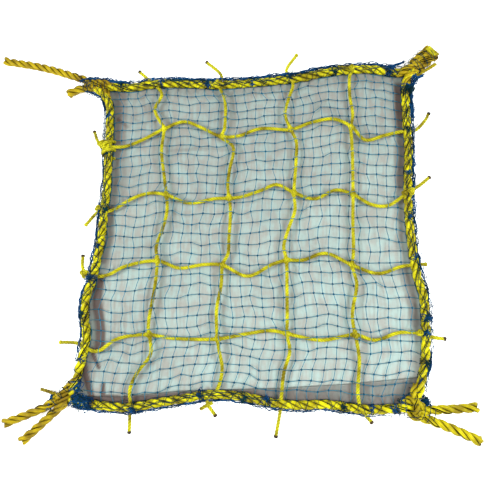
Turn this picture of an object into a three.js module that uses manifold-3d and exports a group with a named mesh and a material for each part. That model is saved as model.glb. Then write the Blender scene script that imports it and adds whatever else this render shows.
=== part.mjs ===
// A square sample of rope netting, lying flat: four border ropes lashed at the corners, eight thin ropes
// woven across them, a fine overlay net laced to the borders, and a cloth underneath.
// Millimetres. +X runs to the right tie ends, +Y to the top tie ends, +Z up. The cloth rests on Z = 0.
import * as THREE from "three";
import { mergeVertices } from "three/addons/utils/BufferGeometryUtils.js";
import Module from "manifold-3d";

const wasm = await Module();
wasm.setup();

const GAP = 0.3;
const TAIL_GAP = 1.2; // behind a tie end's root, so that it clears its lashing as it lifts

// Cloth and overlay net
const CLOTH_THICKNESS = 1;
const NET_BOTTOM = 5;
const NET_THICKNESS = 1.5;
const NET_CELLS = 8;
const NET_BAR_SHARE = 0.08; // width of a bar against the pitch
const NET_INSET = 9.8; // from a border rope's centreline
const EDGE_PIECES = 28; // straight pieces along each side of the cloth and the net

// Border ropes and their tie ends
const BORDER_RADIUS = 6.5;
const BORDER_Z = 9.5;
const TAIL_TIP_Z = 7.2;
const BORDER_SIDES = 8;
const BORDER_STEPS = 28;
const TAIL_STEPS = 6;

// Gathered edge of the overlay net, laced along the outside of each border rope
const EDGE_RADIUS = 2.5;
const EDGE_OFFSET = 9.4;
const EDGE_Z = 8.5;
const EDGE_STEPS = 20;

// Thin ropes
const THIN_RADIUS = 2.75;
const THIN_SIDES = 8;
const THIN_STEPS = 44;
const WEAVE_Z = 12.4;
const WEAVE_RISE = 2.9;
const OVER_BORDER_Z = 19.5;
const STUB_Z = 10;
const SAMPLE_STEP = 5; // between the points that carry a thin rope's height

// Corner lashings
const LASHING_BOTTOM = 1.3;
const LASHING_TOP = 19;

const BORDERS = {
  top: [[-256, 255], [-235, 252], [-200, 249.5], [-150, 255], [-100, 253], [-50, 250], [0, 251.5],
    [50, 255], [90, 259], [120, 266], [150, 269], [200, 270], [230, 264], [246, 263], [262, 272]],
  right: [[266, 262], [254, 248], [252, 220], [252, 180], [253, 140], [251, 100], [249, 60], [249, 20],
    [253, -40], [257, -70], [264, -95], [266, -130], [265, -165], [262, -195], [255, -225], [248, -245]],
  bottom: [[246, -258], [215, -261], [180, -263], [120, -257], [80, -259], [40, -256], [0, -248.5],
    [-50, -247], [-90, -254], [-130, -261], [-170, -268], [-210, -266], [-245, -262], [-262, -256]],
  left: [[-258, -250], [-252, -240], [-250, -220], [-246, -200], [-242, -165], [-247, -130], [-247, -105],
    [-240, -80], [-231, -20], [-228, 50], [-227, 90], [-229, 130], [-230, 180], [-234, 220], [-244, 237],
    [-258, 248]],
};

// Thin ropes from stub tip to stub tip
const DOWN_ROPES = [
  [[-186, 279], [-168, 262], [-145, 236], [-155, 208], [-145, 186], [-138, 175], [-140, 136], [-132, 82],
    [-126, 34], [-132, 3], [-140, -25], [-137, -47], [-139, -88], [-146, -151], [-142, -169], [-140, -190],
    [-159, -218], [-168, -240], [-167, -262], [-166, -304]],
  [[-72, 293], [-46, 267], [-48, 247], [-39, 224], [-38, 172], [-42, 158], [-23, 139], [-28, 100],
    [-30, 74], [-25, 37], [-26, -12], [-27, -36], [-35, -53], [-36, -84], [-42, -122], [-41, -150],
    [-37, -180], [-31, -211], [-38, -240], [-52, -256], [-39, -277]],
  [[79, 301], [62, 272], [73, 248], [66, 222], [60, 195], [69, 168], [78, 147], [78, 116], [74.5, 61],
    [76, 33], [66, 3], [59, -25], [63, -46], [64, -88], [64.5, -141], [64, -157], [68.5, -182], [60, -213],
    [57, -241], [55, -266], [48.6, -304]],
  [[147, 277], [168, 272], [164.5, 258], [164, 224], [168, 190], [165, 170], [166, 130], [165.5, 58],
    [164.5, 20], [164, -37], [162, -54], [168, -82], [161, -122], [161, -140], [164, -157], [169, -191],
    [168, -211], [166, -244], [170, -262], [185, -281]],
];
const ACROSS_ROPES = [
  [[-256, 172], [-246, 152], [-207, 143], [-172, 155], [-138, 174], [-105, 185], [-76, 174], [-42, 157],
    [-16, 158], [20, 170], [69.5, 168], [103, 179], [138, 184], [165.5, 169.5], [187, 147], [216, 154],
    [243, 160], [262, 161], [280, 178], [287, 191]],
  [[-258, 11], [-238, 33], [-216, 35], [-184, 54], [-157, 63], [-129, 60], [-91, 46], [-49, 53], [-11, 55],
    [24, 66], [47, 75], [74.5, 61], [107, 51], [140, 65], [165.5, 58], [193, 41], [218, 39], [249, 60],
    [268, 72], [283, 85]],
  [[-258, -38], [-256, -60], [-242, -71], [-216, -70], [-188, -56], [-137, -47], [-103, -58.5], [-63, -53],
    [-35.5, -54], [4, -71], [43, -52], [63, -46], [88, -46], [122, -35.5], [162, -54], [201, -66.5],
    [234, -56], [256, -53], [271, -52]],
  [[-283, -174], [-256, -175], [-224, -187], [-193, -168], [-148.5, -161], [-107, -166], [-39, -166],
    [4, -158], [41, -153], [64, -157], [115, -166], [164, -157.5], [193, -165], [226, -154], [255, -154],
    [274, -159.5], [293, -162]],
];

// Each corner: its lashing as an ellipse (centre, half axes, heading), and the routes of what leaves it
const CORNERS = {
  top_left: {
    centre: [-261, 256], half: [24, 14], heading: 168,
    tails: { long: [[-262, 260], [-283, 267.5], [-353, 291], [-426, 307]],
      short: [[-262, 251], [-276, 251.5], [-289, 249], [-307, 241]] },
  },
  top_right: {
    centre: [270, 272], half: [25, 16], heading: 45,
    tails: { upper: [[264, 277], [279.5, 292], [293, 304]], lower: [[275, 267], [290, 281.5], [303, 293]] },
    cord: [[274, 258], [290, 268], [302, 276]],
  },
  bottom_left: {
    centre: [-266, -253], half: [24, 17], heading: 222,
    tails: { long: [[-273, -251], [-291, -266.5], [-320, -280], [-358, -295]],
      short: [[-264, -261], [-282.5, -277.5], [-303, -297], [-328, -319.5]] },
    cord: [[-266, -254], [-286, -249.5], [-306, -244]],
  },
  bottom_right: {
    centre: [247, -256], half: [19, 20], heading: 0,
    tails: { upper: [[250, -262], [267, -261.5], [300, -259.5], [331, -256.5]],
      lower: [[244, -270], [266, -275.5], [300, -288], [333, -302]] },
  },
};

const COLOURS = { rope: 0xcbb52a, twine: 0x1c3f62, cloth: 0xb8c4bd };

const root = new THREE.Group();
root.name = "rope_net_sample";

function add(name, geometry, colour) {
  const material = new THREE.MeshStandardMaterial({ color: colour, roughness: 0.85 });
  const mesh = new THREE.Mesh(geometry, material);
  mesh.name = name;
  root.add(mesh);
}

function curveThrough(points) {
  const places = points.map(([x, y, z = 0]) => new THREE.Vector3(x, y, z));
  return new THREE.CatmullRomCurve3(places, false, "centripetal");
}

function tube(points, radius, sides, steps) {
  const ring = [];
  for (let k = 0; k < sides; k += 1) {
    const angle = (2 * Math.PI * (k + 0.5)) / sides;
    ring.push(new THREE.Vector2(radius * Math.cos(angle), radius * Math.sin(angle)));
  }
  const extrudePath = curveThrough(points);
  return new THREE.ExtrudeGeometry(new THREE.Shape(ring), { steps, extrudePath, bevelEnabled: false });
}

// Evenly spaced points of a flat route, each with its distance along the route
function walk(points, step) {
  const curve = curveThrough(points);
  const count = Math.ceil(curve.getLength() / step);
  const pitch = curve.getLength() / count;
  return curve.getSpacedPoints(count).map((p, k) => ({ x: p.x, y: p.y, along: k * pitch }));
}

const distance = (a, b) => Math.hypot(a.x - b.x, a.y - b.y);

// Solids for the cuts that leave a gap between neighbours
function solidOf(geometry) {
  const bare = new THREE.BufferGeometry();
  bare.setAttribute("position", geometry.getAttribute("position"));
  bare.setIndex(geometry.index);
  const merged = mergeVertices(bare, 1e-3);
  const vertProperties = merged.getAttribute("position").array;
  const triVerts = new Uint32Array(merged.index.array);
  return new wasm.Manifold(new wasm.Mesh({ numProp: 3, vertProperties, triVerts }));
}

function geometryOf(solid) {
  const mesh = solid.getMesh();
  const geometry = new THREE.BufferGeometry();
  geometry.setAttribute("position", new THREE.BufferAttribute(mesh.vertProperties, 3));
  geometry.setIndex(new THREE.BufferAttribute(mesh.triVerts, 1));
  geometry.computeVertexNormals();
  return geometry;
}

function withoutLashings(geometry, gap = GAP) {
  let solid = solidOf(geometry);
  for (const corner of Object.values(CORNERS)) solid = solid.subtract(solidOf(lashing(corner, gap)));
  const pieces = solid.decompose().sort((a, b) => b.volume() - a.volume());
  return geometryOf(pieces[0]);
}

function lashing({ centre, half, heading }, grow) {
  const outline = [];
  for (let k = 0; k < 24; k += 1) {
    const angle = (2 * Math.PI * k) / 24;
    const reach = new THREE.Vector2((half[0] + grow) * Math.cos(angle), (half[1] + grow) * Math.sin(angle));
    reach.rotateAround(new THREE.Vector2(), THREE.MathUtils.degToRad(heading));
    outline.push(reach.add(new THREE.Vector2(...centre)));
  }
  const depth = LASHING_TOP - LASHING_BOTTOM + 2 * grow;
  const geometry = new THREE.ExtrudeGeometry(new THREE.Shape(outline), { depth, bevelEnabled: false });
  return geometry.translate(0, 0, LASHING_BOTTOM - grow);
}

// Border ropes, with the gathered edge of the overlay net outside each
const borderWalks = {};
for (const [side, points] of Object.entries(BORDERS)) {
  const route = points.map(([x, y]) => [x, y, BORDER_Z]);
  const rope = tube(route, BORDER_RADIUS, BORDER_SIDES, BORDER_STEPS);
  add(`border_rope_${side}`, withoutLashings(rope), COLOURS.rope);
  const places = walk(points, SAMPLE_STEP);
  borderWalks[side] = places;
  const outside = [];
  for (let k = 2; k < places.length - 2; k += 4) {
    const heading = Math.atan2(places[k + 2].y - places[k - 2].y, places[k + 2].x - places[k - 2].x);
    outside.push([
      places[k].x - EDGE_OFFSET * Math.sin(heading),
      places[k].y + EDGE_OFFSET * Math.cos(heading),
      EDGE_Z,
    ]);
  }
  const edge = tube(outside, EDGE_RADIUS, THIN_SIDES, EDGE_STEPS);
  add(`edge_lacing_${side}`, withoutLashings(edge), COLOURS.twine);
}

// Corner lashings, the tie ends and the short cord ends that leave them
for (const [place, corner] of Object.entries(CORNERS)) {
  add(`corner_lashing_${place}`, lashing(corner, 0), COLOURS.rope);
  for (const [label, points] of Object.entries(corner.tails)) {
    const route = points.map(([x, y], k) => {
      const share = k / (points.length - 1);
      return [x, y, THREE.MathUtils.lerp(BORDER_Z, TAIL_TIP_Z, share)];
    });
    const tail = tube(route, BORDER_RADIUS, BORDER_SIDES, TAIL_STEPS);
    add(`tie_end_${place}_${label}`, withoutLashings(tail, TAIL_GAP), COLOURS.rope);
  }
  if (corner.cord) {
    const route = corner.cord.map(([x, y]) => [x, y, BORDER_Z]);
    add(`cord_end_${place}`, withoutLashings(tube(route, THIN_RADIUS, THIN_SIDES, 4)), COLOURS.rope);
  }
}

// Thin ropes: over and under each other in turn, and over the border ropes at both ends
const downWalks = DOWN_ROPES.map((points) => walk(points, SAMPLE_STEP));
const acrossWalks = ACROSS_ROPES.map((points) => walk(points, SAMPLE_STEP));
const borderPlaces = Object.values(borderWalks).flat();
const { lerp, smoothstep } = THREE.MathUtils;

// Where along one walk another walk crosses it
function meeting(one, other) {
  let best = { gap: Infinity, along: 0 };
  for (const a of one) {
    for (const b of other) {
      const gap = distance(a, b);
      if (gap < best.gap) best = { gap, along: a.along };
    }
  }
  return best.along;
}

function insideFrame(place) {
  const between = (from, to, value) => value > from && value < to;
  return between(-232, 256, place.x) && between(-256, 256, place.y);
}

function woven(places, meetings) {
  return places.map((place) => {
    let height = WEAVE_Z;
    for (const { along, rise } of meetings) {
      height += WEAVE_RISE * rise * (1 - smoothstep(Math.abs(place.along - along), 12, 40));
    }
    const toBorder = Math.min(...borderPlaces.map((b) => distance(b, place)));
    const base = insideFrame(place) ? height : STUB_Z;
    const onBorder = 1 - smoothstep(toBorder, 11, 27);
    return [place.x, place.y, lerp(base, OVER_BORDER_Z, onBorder)];
  });
}

function addThinRope(name, places, others, liesOver) {
  const meetings = others.map((other, k) => ({ along: meeting(places, other), rise: liesOver(k) ? 1 : -1 }));
  add(name, tube(woven(places, meetings), THIN_RADIUS, THIN_SIDES, THIN_STEPS), COLOURS.rope);
}

downWalks.forEach((places, i) => {
  addThinRope(`net_rope_down_${i + 1}`, places, acrossWalks, (j) => (i + j) % 2 === 0);
});
acrossWalks.forEach((places, j) => {
  addThinRope(`net_rope_across_${j + 1}`, places, downWalks, (i) => (i + j) % 2 === 1);
});

// A border rope's other coordinate at a given x or y
function borderAt(side, key, value) {
  const places = borderWalks[side];
  const nearest = places.reduce((a, b) => (Math.abs(a[key] - value) < Math.abs(b[key] - value) ? a : b));
  return key === "x" ? nearest.y : nearest.x;
}

// Maps the unit square onto the space inside the border ropes
function insideBorders(u, v, inset) {
  const roughX = lerp(-226, 240, u);
  const roughY = lerp(-236, 228, v);
  const x = lerp(borderAt("left", "y", roughY) + inset, borderAt("right", "y", roughY) - inset, u);
  const y = lerp(borderAt("bottom", "x", roughX) + inset, borderAt("top", "x", roughX) - inset, v);
  return [x, y];
}

// The edge of a rectangle in the unit square, mapped to the space inside the border ropes
function mappedLoop(from, to, pieces, inset) {
  const corners = [[from[0], from[1]], [to[0], from[1]], [to[0], to[1]], [from[0], to[1]]];
  const loop = [];
  corners.forEach((a, k) => {
    const b = corners[(k + 1) % 4];
    for (let s = 0; s < pieces; s += 1) {
      const place = insideBorders(lerp(a[0], b[0], s / pieces), lerp(a[1], b[1], s / pieces), inset);
      loop.push(new THREE.Vector2(...place));
    }
  });
  return loop;
}

function slab(shape, bottom, thickness) {
  const geometry = new THREE.ExtrudeGeometry(shape, { depth: thickness, bevelEnabled: false });
  return geometry.translate(0, 0, bottom);
}

// Overlay net: a square grid with square holes, laid out between the border ropes
const grid = new THREE.Shape(mappedLoop([0, 0], [1, 1], EDGE_PIECES, NET_INSET));
for (let i = 0; i < NET_CELLS; i += 1) {
  for (let j = 0; j < NET_CELLS; j += 1) {
    const from = [(i + NET_BAR_SHARE) / NET_CELLS, (j + NET_BAR_SHARE) / NET_CELLS];
    const to = [(i + 1 - NET_BAR_SHARE) / NET_CELLS, (j + 1 - NET_BAR_SHARE) / NET_CELLS];
    grid.holes.push(new THREE.Path(mappedLoop(from, to, 1, NET_INSET)));
  }
}
add("overlay_net", withoutLashings(slab(grid, NET_BOTTOM, NET_THICKNESS)), COLOURS.twine);

// Cloth: its edge runs under the middle of the border ropes
const cloth = new THREE.Shape(mappedLoop([0, 0], [1, 1], EDGE_PIECES, 0));
add("backing_cloth", slab(cloth, 0, CLOTH_THICKNESS), COLOURS.cloth);

export default root;
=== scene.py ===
"""A sample of rope netting lying flat, seen from above.

Yellow three-strand border ropes with a black tracer yarn are lashed at the corners and end in loose
tails. Thin yellow ropes cross inside them, a fine blue knotted net is gathered along the borders, and
a grey cloth lies behind. Sizes and routes are in millimetres in the row frame, and become metres as
the meshes are made.
"""

import math

import bpy
import numpy as np
from mathutils import Matrix, Vector


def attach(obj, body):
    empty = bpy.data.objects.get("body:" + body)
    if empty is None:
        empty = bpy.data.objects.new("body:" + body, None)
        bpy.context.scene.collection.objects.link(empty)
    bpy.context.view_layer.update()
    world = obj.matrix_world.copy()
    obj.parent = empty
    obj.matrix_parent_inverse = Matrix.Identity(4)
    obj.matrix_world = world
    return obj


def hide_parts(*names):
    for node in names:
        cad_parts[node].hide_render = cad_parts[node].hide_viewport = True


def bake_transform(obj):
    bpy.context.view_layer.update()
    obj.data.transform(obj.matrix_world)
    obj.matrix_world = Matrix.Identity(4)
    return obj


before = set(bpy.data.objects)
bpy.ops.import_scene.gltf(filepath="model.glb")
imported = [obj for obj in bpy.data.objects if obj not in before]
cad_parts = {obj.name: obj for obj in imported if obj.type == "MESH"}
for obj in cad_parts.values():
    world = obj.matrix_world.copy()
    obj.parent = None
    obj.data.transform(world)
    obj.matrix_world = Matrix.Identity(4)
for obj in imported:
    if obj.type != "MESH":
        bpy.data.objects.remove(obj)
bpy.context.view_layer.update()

MM = 0.001
TAU = 2 * math.pi

# Border ropes, tie ends and lashings
BORDER_RADIUS = 6.8
BORDER_Z = 9.5
BORDER_LAY = 52.0  # one turn of the strands; the netting keeps the border ropes tighter than the tie ends
TAIL_LAY = 44.0
TAIL_TIP_Z = 8.2
CROSSING_Z = 14.5  # the left and right border ropes lie over the others inside the corners
LASHING_RADIUS = 5.9
LASHING_LAY = 33.0

# Thin ropes
THIN_RADIUS = 2.9
THIN_LAY = 14.0
THIN_Z = 10.6
THIN_RISE = 1.3
STUB_Z = 8.5
HITCH_RADIUS = 0.9 * THIN_RADIUS

# The three strands of a rope
STRAND_OFFSET = 0.536  # of the rope's radius, for three strands that touch
STRAND_RADIUS = 0.464
TRACER_AT = 0.75  # of the way round its strand: on top of a rope that lies flat

# Blue twine
NET_COLUMNS = 32
NET_ROWS = 33
NET_MARGIN = 0.022  # how far the net runs past the border ropes' middles, as a share of its size
NET_Z = 6.4
NET_UNDER_ROPE_Z = 2.6
NET_RADIUS = 0.46
KNOT_RADIUS = 0.62
TWINE_LOW = 1.2  # no loose twine lies lower

# Cloth
CLOTH_THICKNESS = 0.8
CLOTH_STEPS = 230  # points each way on its top layer
HEM_STEPS = 22  # points from the bottom border rope to the top of the pleat
PLEAT_STEPS = 5  # points from there back to the fold
FOLD_RISE = 2.1  # how high the top layer stands over the fold

BORDERS = {
    "top": [(-256, 255), (-235, 252), (-200, 249.5), (-150, 255), (-100, 253), (-50, 250), (0, 251.5),
            (50, 255), (90, 259), (120, 266), (150, 269), (200, 270), (230, 264), (246, 263), (262, 272)],
    "right": [(266, 262), (254, 248), (252, 220), (252, 180), (253, 140), (251, 100), (249, 60),
              (249, 20), (253, -40), (257, -70), (264, -95), (266, -130), (265, -165), (262, -195),
              (255, -225), (248, -245)],
    "bottom": [(246, -258), (215, -261), (180, -263), (120, -257), (80, -259), (40, -256), (0, -248.5),
               (-50, -247), (-90, -254), (-130, -261), (-170, -268), (-210, -266), (-245, -262),
               (-262, -256)],
    "left": [(-258, -250), (-252, -240), (-250, -220), (-246, -200), (-242, -165), (-247, -130),
             (-247, -105), (-240, -80), (-231, -20), (-228, 50), (-227, 90), (-229, 130), (-230, 180),
             (-234, 220), (-244, 237), (-258, 248)],
}
STRAIGHT = {  # the stretch of each border rope between the corners, in x or in y
    "top": (-236, 246), "right": (-238, 248), "bottom": (-240, 240), "left": (-240, 236),
}

DOWN_ROPES = [
    [(-186, 279), (-168, 262), (-145, 236), (-155, 208), (-145, 186), (-138, 175), (-140, 136), (-132, 82),
     (-126, 34), (-132, 3), (-140, -25), (-137, -47), (-139, -88), (-146, -151), (-142, -169),
     (-140, -190), (-159, -218), (-168, -240), (-167, -262), (-166, -304)],
    [(-72, 293), (-46, 267), (-48, 247), (-39, 224), (-38, 172), (-42, 158), (-23, 139), (-28, 100),
     (-30, 74), (-25, 37), (-26, -12), (-27, -36), (-35, -53), (-36, -84), (-42, -122), (-41, -150),
     (-37, -180), (-31, -211), (-38, -240), (-52, -256), (-39, -277)],
    [(79, 301), (62, 272), (73, 248), (66, 222), (60, 195), (69, 168), (78, 147), (78, 116), (74.5, 61),
     (76, 33), (66, 3), (59, -25), (63, -46), (64, -88), (64.5, -141), (64, -157), (68.5, -182),
     (60, -213), (57, -241), (55, -266), (48.6, -304)],
    [(147, 277), (168, 272), (164.5, 258), (164, 224), (168, 190), (165, 170), (166, 130), (165.5, 58),
     (164.5, 20), (164, -37), (162, -54), (168, -82), (161, -122), (161, -140), (164, -157), (169, -191),
     (168, -211), (166, -244), (170, -262), (185, -281)],
]
ACROSS_ROPES = [
    [(-256, 172), (-246, 152), (-207, 143), (-172, 155), (-138, 174), (-105, 185), (-76, 174), (-42, 157),
     (-16, 158), (20, 170), (69.5, 168), (103, 179), (138, 184), (165.5, 169.5), (187, 147), (216, 154),
     (243, 160), (262, 161), (280, 178), (287, 191)],
    [(-258, 11), (-238, 33), (-216, 35), (-184, 54), (-157, 63), (-129, 60), (-91, 46), (-49, 53),
     (-11, 55), (24, 66), (47, 75), (74.5, 61), (107, 51), (140, 65), (165.5, 58), (193, 41), (218, 39),
     (249, 60), (268, 72), (283, 85)],
    [(-258, -38), (-256, -60), (-242, -71), (-216, -70), (-188, -56), (-137, -47), (-103, -58.5),
     (-63, -53), (-35.5, -54), (4, -71), (43, -52), (63, -46), (88, -46), (122, -35.5), (162, -54),
     (201, -66.5), (234, -56), (256, -53), (271, -52)],
    [(-283, -174), (-256, -175), (-224, -187), (-193, -168), (-148.5, -161), (-107, -166), (-39, -166),
     (4, -158), (41, -153), (64, -157), (115, -166), (164, -157.5), (193, -165), (226, -154), (255, -154),
     (274, -159.5), (293, -162)],
]

# Each corner: middle, half length, half width and heading in degrees of its lashing, and what leaves it
CORNERS = {
    "top_left": {
        "centre": (-261, 256), "half": (24, 14), "heading": 168,
        "tails": {"long": [(-262, 260), (-283, 267.5), (-353, 291), (-426, 307)],
                  "short": [(-262, 251), (-276, 251.5), (-289, 249), (-307, 241)]},
    },
    "top_right": {
        "centre": (270, 272), "half": (25, 16), "heading": 45,
        "tails": {"upper": [(264, 277), (279.5, 292), (293, 304)],
                  "lower": [(275, 267), (290, 281.5), (303, 293)]},
        "cord": [(270, 255), (280, 262), (290, 268), (302, 276)],
    },
    "bottom_left": {
        "centre": (-266, -253), "half": (24, 17), "heading": 222,
        "tails": {"long": [(-273, -251), (-291, -266.5), (-320, -280), (-358, -295)],
                  "short": [(-264, -261), (-282.5, -277.5), (-303, -297), (-328, -319.5)]},
        "cord": [(-266, -254), (-276, -252), (-286, -249.5), (-306, -244)],
    },
    "bottom_right": {
        "centre": (247, -256), "half": (19, 20), "heading": 0,
        "tails": {"upper": [(250, -262), (267, -261.5), (300, -259.5), (331, -256.5)],
                  "lower": [(244, -270), (266, -275.5), (300, -288), (333, -302)]},
    },
}


# ---- lines

def lengths_along(line):
    """The length of the line up to each of its points."""
    return np.concatenate([[0], np.cumsum(np.linalg.norm(np.diff(line, axis=0), axis=1))])


def resample(line, step):
    """The line again, with points about step apart."""
    along = lengths_along(line)
    at = np.linspace(0, along[-1], max(2, math.ceil(along[-1] / step) + 1))
    return np.stack([np.interp(at, along, line[:, k]) for k in range(line.shape[1])], axis=1)


def smooth_line(points, step):
    """Evenly spaced points on a centripetal Catmull-Rom curve through the given ones."""
    p = np.array(points, float)
    p = np.vstack([2 * p[0] - p[1], p, 2 * p[-1] - p[-2]])
    found = []
    for a, b, c, d in zip(p[:-3], p[1:-2], p[2:-1], p[3:]):
        t1 = np.linalg.norm(b - a) ** 0.5
        t2 = t1 + np.linalg.norm(c - b) ** 0.5
        t3 = t2 + np.linalg.norm(d - c) ** 0.5
        t = np.linspace(t1, t2, 12, endpoint=False)[:, None]
        ab = a + (b - a) * t / t1
        bc = b + (c - b) * (t - t1) / (t2 - t1)
        cd = c + (d - c) * (t - t2) / (t3 - t2)
        abc = ab + (bc - ab) * t / t2
        bcd = bc + (cd - bc) * (t - t1) / (t3 - t1)
        found.append(abc + (bcd - abc) * (t - t1) / (t2 - t1))
    return resample(np.vstack([*found, p[-2]]), step)


def frames(line):
    """Two directions across the line at each point, which don't twist about it."""
    tangent = np.gradient(line, axis=0)
    tangent /= np.linalg.norm(tangent, axis=1)[:, None]
    side = np.empty_like(line)
    first = np.cross(tangent[0], (0, 0, 1))
    if np.linalg.norm(first) < 0.1:
        first = np.cross(tangent[0], (0, 1, 0))
    side[0] = first / np.linalg.norm(first)
    for i in range(1, len(line)):
        s = side[i - 1] - tangent[i] * (side[i - 1] @ tangent[i])
        side[i] = s / math.sqrt(s @ s)
    return side, np.cross(tangent, side)


def ease(value, low, high):
    """0 below low, 1 above high and smooth between."""
    t = np.clip((np.asarray(value, float) - low) / (high - low), 0, 1)
    return t * t * (3 - 2 * t)


def lifted(flat, height):
    """A flat line with that height, or those heights."""
    return np.column_stack([flat[:, :2], np.broadcast_to(height, len(flat))])


def turned(x, y, z, turn):
    """A line given as its three coordinates, turned about Z."""
    cos, sin = math.cos(turn), math.sin(turn)
    return np.stack([x * cos - y * sin, x * sin + y * cos, z], axis=-1)


# ---- meshes

def put_in_scene(mesh, uv, value_name, values, materials):
    """The mesh as a smooth object, with its UV map and one value at each point."""
    layer = mesh.uv_layers.new(name="UVMap")
    layer.data.foreach_set("uv", uv.ravel().astype(np.float32))
    attribute = mesh.attributes.new(value_name, "FLOAT", "POINT")
    attribute.data.foreach_set("value", values.astype(np.float32))
    mesh.shade_smooth()
    for material in materials:
        mesh.materials.append(material)
    piece = bpy.data.objects.new(mesh.name, mesh)
    bpy.context.scene.collection.objects.link(piece)
    return piece


class Skin:
    """Gathers closed tubes into one mesh, with u once round a tube and v in millimetres along it."""

    def __init__(self):
        self.points, self.loops, self.sizes, self.uvs, self.slots, self.shown = [], [], [], [], [], []
        self.count = 0

    def tube(self, line, radius, sides=8, slot=0, core=None, reach=1.0):
        """core and reach are the rope that a strand is part of: what lies deep in it is in a groove, where
        its shown value drops to paint the groove's shade.
        """
        line = np.asarray(line, float)
        n = len(line)
        radius = np.broadcast_to(np.asarray(radius, float), n)
        side, up = frames(line)
        turn = np.arange(sides) * TAU / sides
        ring = np.cos(turn)[:, None] * side[:, None] + np.sin(turn)[:, None] * up[:, None]
        points = line[:, None] + radius[:, None, None] * ring
        self.points.append(points.reshape(-1, 3))
        if core is None:
            self.shown.append(np.ones(n * sides))
        else:
            depth = np.linalg.norm(points - core[:, None], axis=2) / np.asarray(reach)[..., None]
            self.shown.append(ease(depth, 0.48, 0.86).ravel())
        i, k = np.meshgrid(np.arange(n - 1), np.arange(sides), indexing="ij")
        after = (k + 1) % sides
        here, ahead = i * sides, (i + 1) * sides
        quads = np.stack([here + k, here + after, ahead + after, ahead + k], -1)
        along = lengths_along(line)
        u, v = k / sides, along[i]
        u_next, v_next = (k + 1) / sides, along[i + 1]
        corners = [(u, v), (u_next, v), (u_next, v_next), (u, v_next)]
        uv = np.stack([np.stack(c, -1) for c in corners], 2)
        caps = np.concatenate([np.arange(sides)[::-1], (n - 1) * sides + np.arange(sides)])
        cap_uv = np.column_stack([np.full(2 * sides, 0.5), np.repeat([0.0, along[-1]], sides)])
        self.loops += [quads.reshape(-1) + self.count, caps + self.count]
        self.uvs += [uv.reshape(-1, 2), cap_uv]
        faces = (n - 1) * sides
        self.sizes += [np.full(faces, 4), np.full(2, sides)]
        self.slots.append(np.full(faces + 2, slot))
        self.count += n * sides

    def make(self, name, materials):
        """The gathered tubes as one object in the scene."""
        points = np.concatenate(self.points) * MM
        loops, sizes = np.concatenate(self.loops), np.concatenate(self.sizes)
        mesh = bpy.data.meshes.new(name)
        mesh.vertices.add(len(points))
        mesh.vertices.foreach_set("co", points.ravel().astype(np.float32))
        mesh.loops.add(len(loops))
        mesh.loops.foreach_set("vertex_index", loops.astype(np.int32))
        mesh.polygons.add(len(sizes))
        mesh.polygons.foreach_set("loop_start", (np.cumsum(sizes) - sizes).astype(np.int32))
        mesh.polygons.foreach_set("material_index", np.concatenate(self.slots).astype(np.int32))
        mesh.update(calc_edges=True)
        mesh.validate()
        uv, shown = np.concatenate(self.uvs), np.concatenate(self.shown)
        return put_in_scene(mesh, uv, "shown", shown, materials)


def laid_rope(skin, line, radius, lay, phase=0.0, sides=10, swell=1.0, tracer=True, splay=(0.0, 0.0)):
    """Three strands laid round the line. splay opens the strands at either end by that share."""
    side, up = frames(line)
    along = lengths_along(line)
    opening = 1 + splay[0] * (1 - ease(along, 0, 12)) + splay[1] * ease(along, along[-1] - 12, along[-1])
    size = radius * np.broadcast_to(swell, len(line))
    for strand in range(3):
        angle = phase + TAU * (along / lay + strand / 3)
        out = np.cos(angle)[:, None] * side + np.sin(angle)[:, None] * up
        middle = line + (STRAND_OFFSET * size * opening)[:, None] * out
        slot = 1 if tracer and strand == 0 else 0
        skin.tube(middle, STRAND_RADIUS * size * (0.4 + 0.6 * opening), sides, slot, line, size * opening)


def thin_rope(skin, line, radius=THIN_RADIUS, phase=0.0, swell=1.0):
    """Three strands of thin rope, with no tracer."""
    laid_rope(skin, line, radius, THIN_LAY, phase, 7, swell, tracer=False)


def coiled(line, radius, pitch, phase, wobble=0.0, rng=None):
    """A line that winds round another at that radius."""
    side, up = frames(line)
    along = lengths_along(line)
    angle = phase + TAU * along / pitch
    if rng is not None:
        knots = np.linspace(0, along[-1], max(3, int(along[-1] / 9)))
        angle = angle + np.interp(along, knots, rng.normal(0, wobble, len(knots)))
    out = np.cos(angle)[:, None] * side + np.sin(angle)[:, None] * up
    return line + radius * out


# ---- materials

def add_node(tree, kind, **values):
    """A node: in_0 and so on set or link its inputs, and any other name sets a property."""
    made = tree.nodes.new(kind)
    for key, value in values.items():
        if key.startswith("in_"):
            socket = made.inputs[int(key[3:])]
            if isinstance(value, bpy.types.NodeSocket):
                tree.links.new(value, socket)
            else:
                socket.default_value = value
        else:
            setattr(made, key, value)
    return made


def maths(tree, operation, a, b=0.0, c=0.0):
    """The result of one maths node."""
    return add_node(tree, "ShaderNodeMath", operation=operation, in_0=a, in_1=b, in_2=c).outputs[0]


def blended(tree, share, low, high):
    """Colour low where share is 0 and high where it is 1."""
    mix = add_node(tree, "ShaderNodeMix", data_type="RGBA")
    for index, value in ((0, share), (6, low), (7, high)):
        if isinstance(value, bpy.types.NodeSocket):
            tree.links.new(value, mix.inputs[index])
        else:
            mix.inputs[index].default_value = value if index == 0 else (*value, 1)
    return mix.outputs[2]


def noise(tree, scale, detail=3.0, vector=None):
    """Smooth noise, over the object's own places unless a vector is given."""
    made = add_node(tree, "ShaderNodeTexNoise")
    made.inputs["Scale"].default_value = scale
    made.inputs["Detail"].default_value = detail
    if vector is None:
        vector = add_node(tree, "ShaderNodeTexCoord").outputs["Object"]
    tree.links.new(vector, made.inputs["Vector"])
    return made.outputs["Fac"]


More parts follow.
